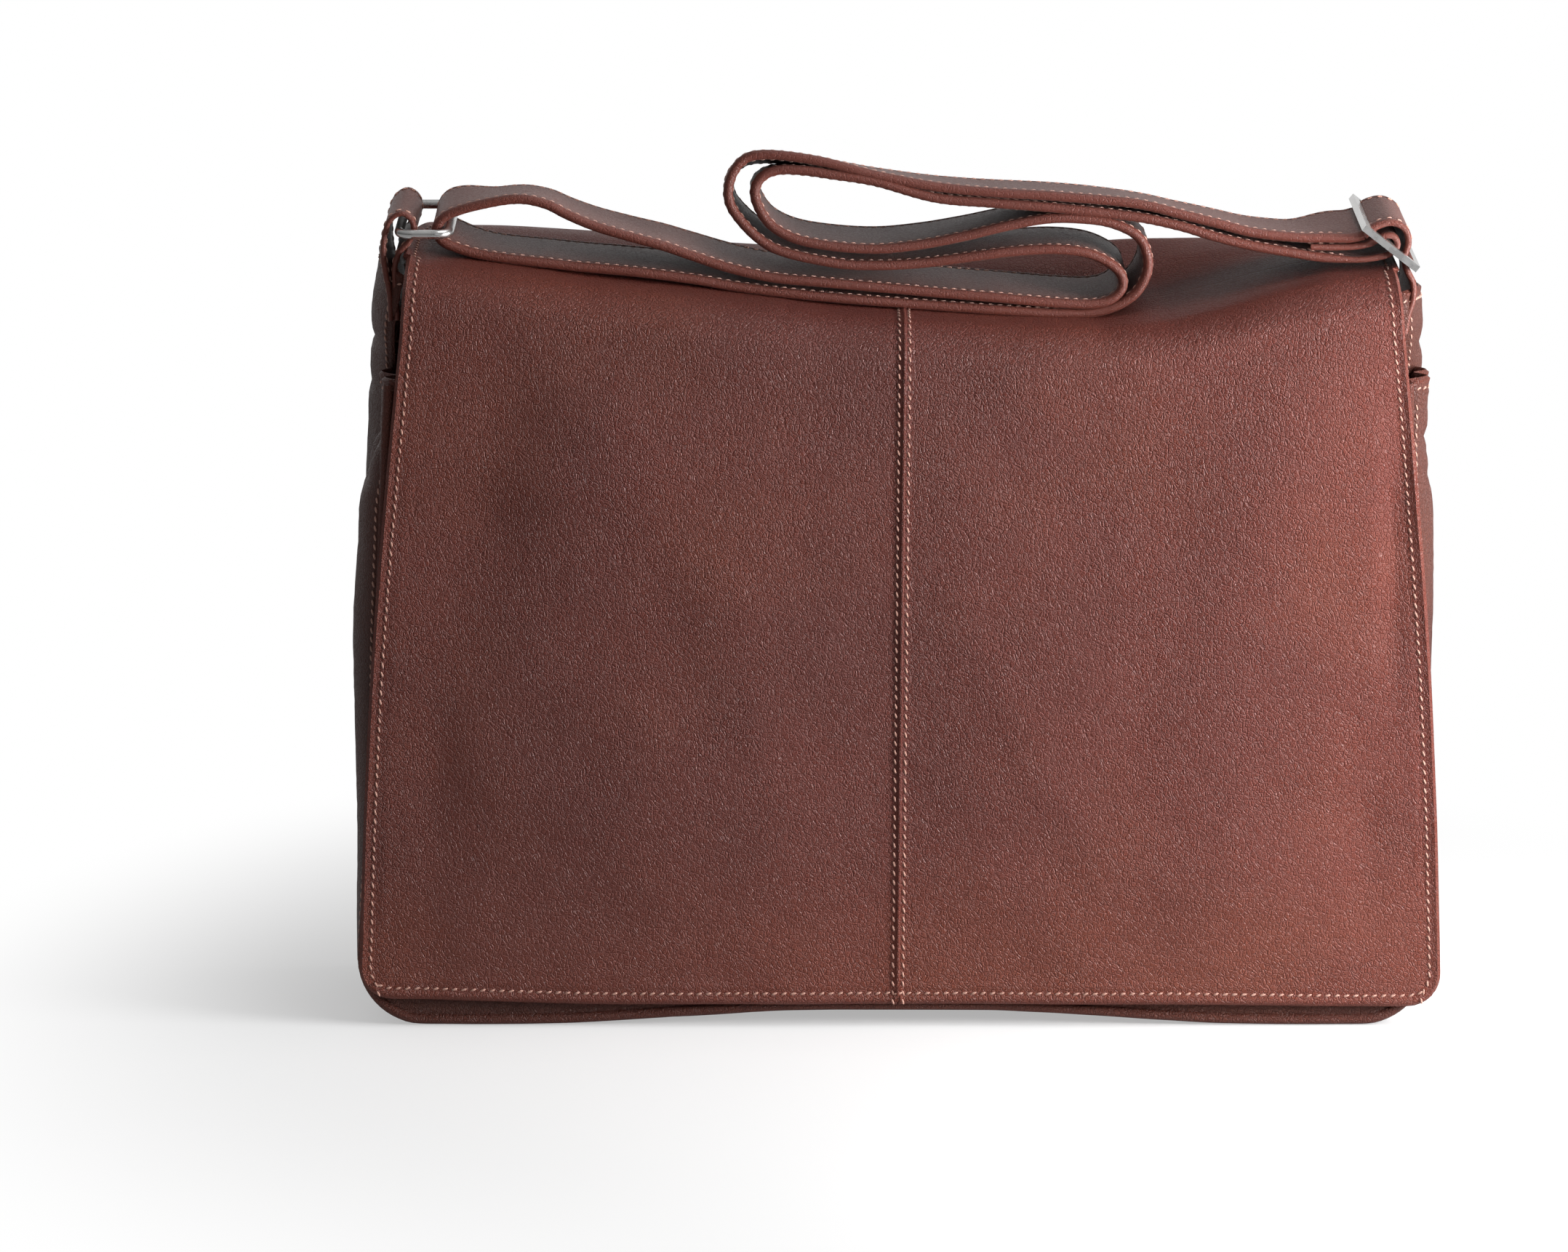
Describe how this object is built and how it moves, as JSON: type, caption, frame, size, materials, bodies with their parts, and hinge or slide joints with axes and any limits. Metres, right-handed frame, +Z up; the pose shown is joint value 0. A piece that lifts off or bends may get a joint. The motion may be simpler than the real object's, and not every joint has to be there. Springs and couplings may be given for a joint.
{
  "type": "satchel bag",
  "caption": "Soft leather messenger satchel with a full front flap, a front pocket under it, and an adjustable shoulder strap folded on top between a ring and a slide buckle.",
  "frame": {"origin": "middle of the base, on the surface the bag stands on", "axes": "+X across the bag towards the slide buckle, +Y from the flap to the back, +Z up"},
  "size_m": [0.4034, 0.1, 0.3329],
  "materials": {
    "body_leather": "soft pebbled, semi-matte",
    "flap_leather": "soft pebbled, semi-matte",
    "strap_leather": "smooth grain, semi-matte",
    "lining": "woven cotton",
    "hardware": "brushed nickel",
    "snap_metal": "nickel plate",
    "board": "matte"
  },
  "bodies": {
    "bag": {"back_panel": "body_leather", "piping_back": "body_leather", "gusset_left": "body_leather", "base_panel": "body_leather", "gusset_right": "body_leather", "inner_wall": "body_leather", "pocket_gusset_left": "body_leather", "pocket_base": "body_leather", "pocket_gusset_right": "body_leather", "pocket_panel": "body_leather", "piping_front": "body_leather", "snap_sockets": "snap_metal", "main_lining": "lining", "pocket_lining": "lining", "base_board": "board", "slip_pocket": "lining", "tab_left": "strap_leather", "strap_anchor_right": "strap_leather"},
    "flap_top": {"flap_roof_left": "flap_leather", "flap_roof_right": "flap_leather", "flap_roof_lining": "lining", "flap_back_fold": "flap_leather", "strap_outer_run": "strap_leather", "strap_inner_run": "strap_leather", "strap_end_left": "strap_leather", "strap_end_outer": "strap_leather", "strap_end_inner": "strap_leather"},
    "flap_front": {"flap_front_left": "flap_leather", "flap_front_right": "flap_leather", "flap_welt": "flap_leather", "flap_front_lining": "lining", "snap_studs": "snap_metal", "flap_front_fold": "flap_leather"},
    "ring": {"ring_left": "hardware"},
    "buckle": {"buckle_right": "hardware"}
  },
  "joints": [
    {"name": "flap_lift", "type": "hinge", "parent": "bag", "child": "flap_top", "pos_m": [0, 0.04551, 0.27885], "axis": [-1, 0, 0], "range_deg": [0, 100], "deforming": ["flap_back_fold", "tab_left", "strap_anchor_right"]},
    {"name": "flap_unfold", "type": "hinge", "parent": "flap_top", "child": "flap_front", "pos_m": [0, -0.04498, 0.2643], "axis": [-1, 0, 0], "range_deg": [0, 110], "deforming": ["flap_front_fold"]},
    {"name": "ring_swivel", "type": "hinge", "parent": "flap_top", "child": "ring", "pos_m": [-0.1837, -0.027, 0.298], "axis": [0, -0.9874, -0.158], "range_deg": [0, 50], "deforming": ["strap_end_left"]},
    {"name": "buckle_swivel", "type": "hinge", "parent": "flap_top", "child": "buckle", "pos_m": [0.1837, -0.027, 0.293], "axis": [0, 0.9874, 0.158], "range_deg": [0, 20], "deforming": ["strap_end_outer", "strap_end_inner"]}
  ]
}
